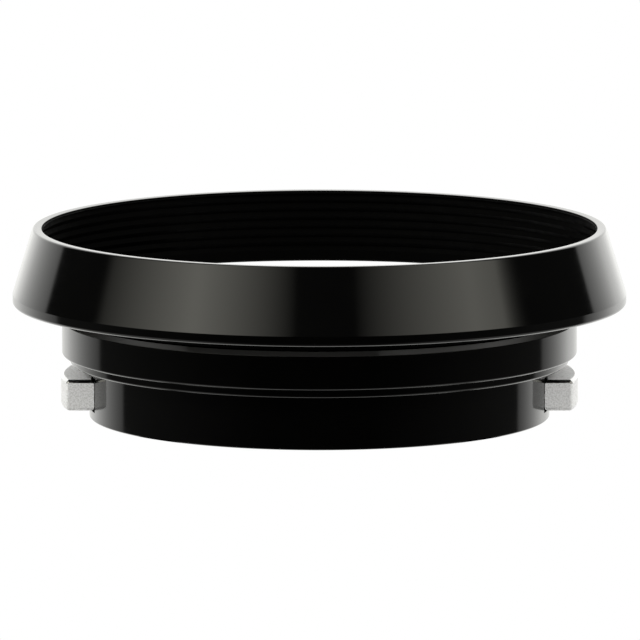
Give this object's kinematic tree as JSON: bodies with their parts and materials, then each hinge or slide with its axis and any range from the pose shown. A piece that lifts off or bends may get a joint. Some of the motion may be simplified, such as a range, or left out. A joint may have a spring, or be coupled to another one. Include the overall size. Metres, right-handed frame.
{
  "type": "lens hood",
  "caption": "Clip-on camera lens hood: vented conical shade screwed into a filter barrel, on a collar with spring push-buttons.",
  "frame": {"origin": "centre of the collar's rear face, where the hood goes onto the lens", "axes": "+Z forward along the optical axis, X through the two push-buttons with the left button at -X, +Y away from the viewer"},
  "size_m": [0.068, 0.068, 0.021],
  "materials": {
    "anodised": "satin black anodised, fine turning grain",
    "latch_brass": "blackened, bare brass where it rubs",
    "satin_chrome": "satin chrome",
    "spring_steel": "bright",
    "black_screw": "blackened steel"
  },
  "bodies": {
    "base": {"mount_collar": "anodised", "filter_barrel": "anodised", "latch_cover": "anodised", "guide_screw_1": "black_screw", "guide_screw_2": "black_screw", "guide_screw_3": "black_screw", "guide_screw_4": "black_screw", "barrel_screw_1": "black_screw", "barrel_screw_2": "black_screw", "barrel_screw_3": "black_screw", "barrel_screw_4": "black_screw", "left_spring_near": "spring_steel", "left_spring_far": "spring_steel", "right_spring_near": "spring_steel", "right_spring_far": "spring_steel"},
    "front": {"shade": "anodised"},
    "left_release": {"left_button": "satin_chrome", "left_latch_ring": "latch_brass", "left_button_screw_1": "spring_steel", "left_button_screw_2": "spring_steel"},
    "right_release": {"right_button": "satin_chrome", "right_latch_ring": "latch_brass", "right_button_screw_1": "spring_steel", "right_button_screw_2": "spring_steel"}
  },
  "joints": [
    {"name": "left_button_press", "type": "slide", "parent": "base", "child": "left_release", "axis": [1, 0, 0], "range_m": [0, 0.0008], "stiffness_N_per_m": 1200, "springref_m": -0.0008, "deforming": ["left_spring_near", "left_spring_far"]},
    {"name": "right_button_press", "type": "slide", "parent": "base", "child": "right_release", "axis": [-1, 0, 0], "range_m": [0, 0.0008], "stiffness_N_per_m": 1200, "springref_m": -0.0008, "deforming": ["right_spring_near", "right_spring_far"]},
    {"name": "shade_lift", "type": "slide", "parent": "base", "child": "front", "axis": [0, 0, 1], "range_m": [0, 0.02]}
  ]
}
